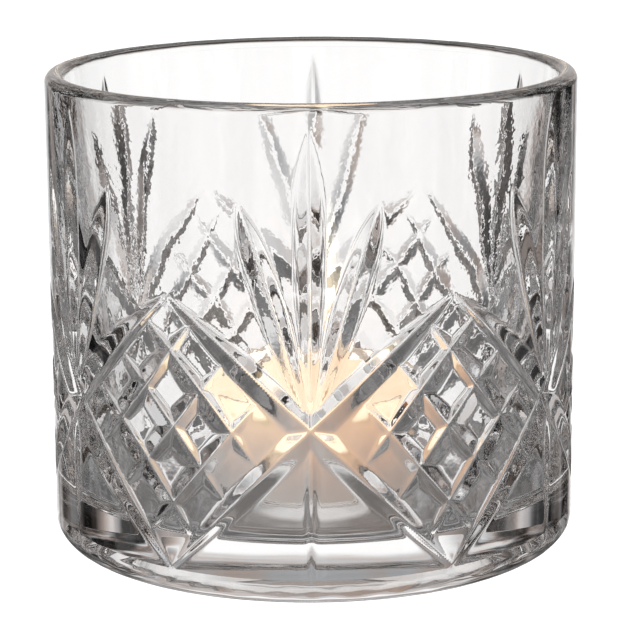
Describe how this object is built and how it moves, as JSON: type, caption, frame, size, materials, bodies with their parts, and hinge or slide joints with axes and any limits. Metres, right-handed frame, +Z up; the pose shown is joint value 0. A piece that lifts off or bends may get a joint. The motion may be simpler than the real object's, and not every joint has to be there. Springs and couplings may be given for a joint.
{
  "type": "tealight holder",
  "caption": "Heavy clear cut-glass tealight holder with fans and hatched lozenges, and a clear-cup tealight that lifts out.",
  "frame": {"origin": "centre of the flat standing face under the glass", "axes": "+Z up along the glass's axis; one fan of the cut pattern faces -Y, towards the front"},
  "size_m": [0.09, 0.09, 0.081],
  "materials": {
    "clear_glass": "clear, fire polished, with sharp pressed V cuts",
    "clear_plastic": "thin clear moulded polycarbonate",
    "wax": "translucent paraffin wax, wet round the flame",
    "wick_cotton": "waxed braided cotton, charred at the end",
    "tinned_steel": "thin bright tin-plated sheet"
  },
  "bodies": {
    "holder": {"glass_holder": "clear_glass"},
    "cup": {"tealight_cup": "clear_plastic"},
    "candle": {"candle_wax": "wax", "wick": "wick_cotton", "wick_sustainer": "tinned_steel"}
  },
  "joints": [
    {"name": "tealight_lift", "type": "slide", "parent": "holder", "child": "cup", "axis": [0, 0, 1], "range_m": [0, 0.075]},
    {"name": "candle_lift", "type": "slide", "parent": "cup", "child": "candle", "axis": [0, 0, 1], "range_m": [0, 0.02]}
  ]
}
